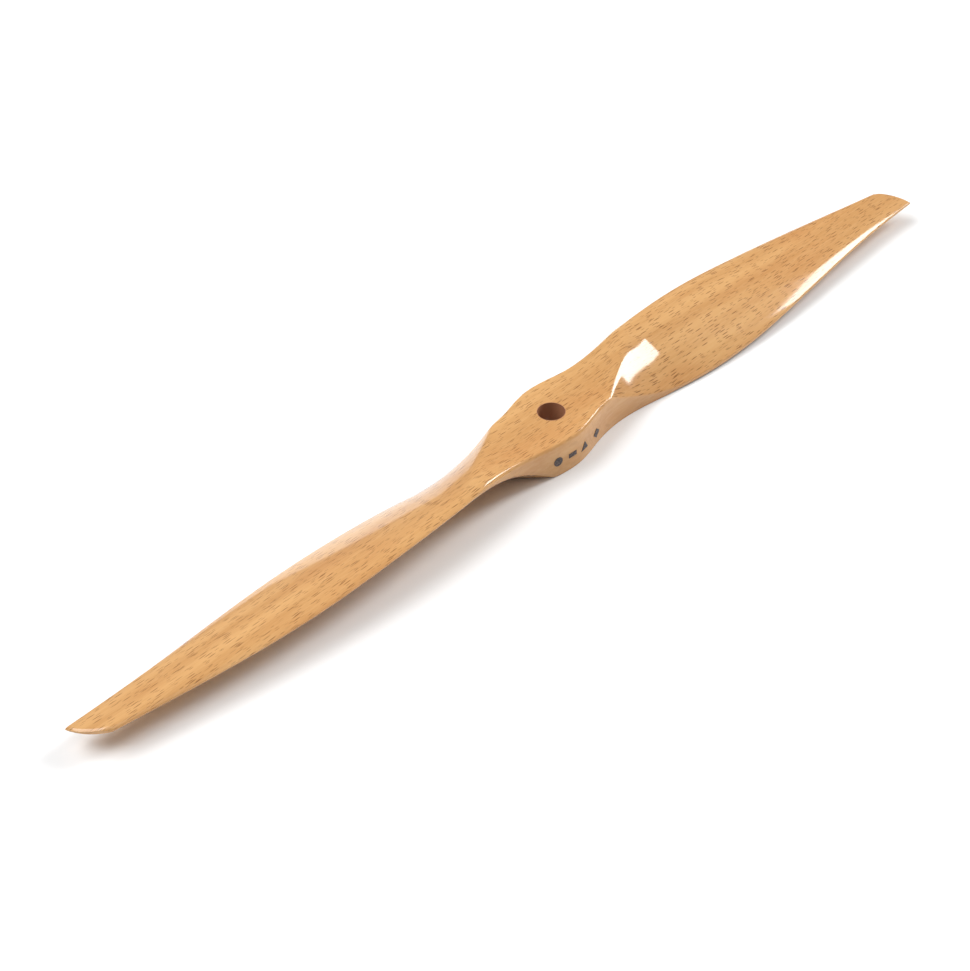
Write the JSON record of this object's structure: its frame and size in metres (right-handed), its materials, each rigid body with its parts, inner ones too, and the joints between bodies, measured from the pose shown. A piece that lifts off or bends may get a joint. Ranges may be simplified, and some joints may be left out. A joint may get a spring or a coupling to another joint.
{
  "type": "model aircraft propeller",
  "caption": "Two-blade wooden model aircraft propeller with a flat-faced hub, drilled for the engine shaft, that turns shaft power into thrust.",
  "frame": {"origin": "on the shaft bore's axis at the rear face of the hub, the face that sits against the engine's drive washer", "axes": "+Z forward along the shaft, out of the front face; +X along one blade; +Y towards that blade's leading edge. Seen from the front the propeller turns counter-clockwise"},
  "size_m": [0.33, 0.026, 0.0138],
  "materials": {
    "lacquered_beech": "clear gloss lacquer over sanded beech",
    "print_ink": "black printing ink"
  },
  "bodies": {
    "root": {"propeller_body": "lacquered_beech", "ink_disc": "print_ink", "ink_bar": "print_ink", "ink_wedge": "print_ink", "ink_diamond": "print_ink"}
  },
  "joints": []
}
